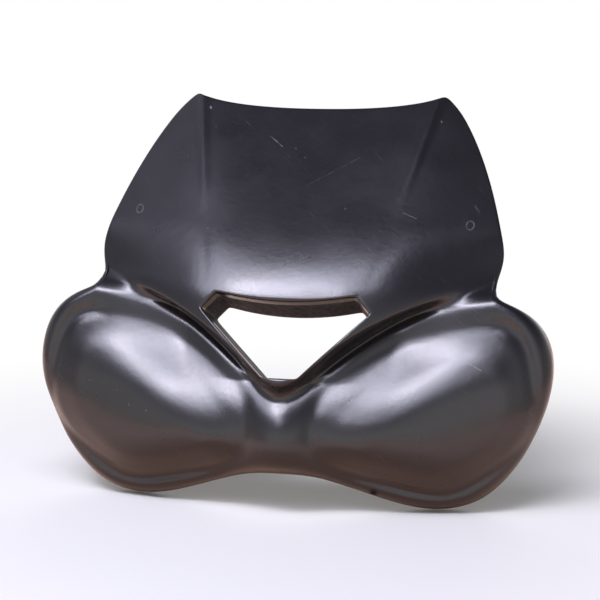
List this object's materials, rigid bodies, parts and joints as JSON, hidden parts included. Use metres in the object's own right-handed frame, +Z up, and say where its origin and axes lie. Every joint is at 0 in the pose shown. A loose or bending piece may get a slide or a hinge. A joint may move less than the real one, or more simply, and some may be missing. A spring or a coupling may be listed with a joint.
{
  "type": "headlight cowl",
  "caption": "Moulded motorbike headlight cowl: a raked screen with flanks over a triangular duct opening and a V-shaped brow, with lamp lobes below and an open, hollow back.",
  "frame": {"origin": "centre of the duct opening, on the plane of symmetry", "axes": "+X to the right of someone who faces the front, +Y to the rear, +Z up; the front faces -Y"},
  "size_m": [0.3886, 0.1804, 0.2924],
  "materials": {
    "gel_coat": "black gel coat, satin gloss, with light scratches"
  },
  "bodies": {
    "root": {"cowl_shell": "gel_coat"}
  },
  "joints": []
}
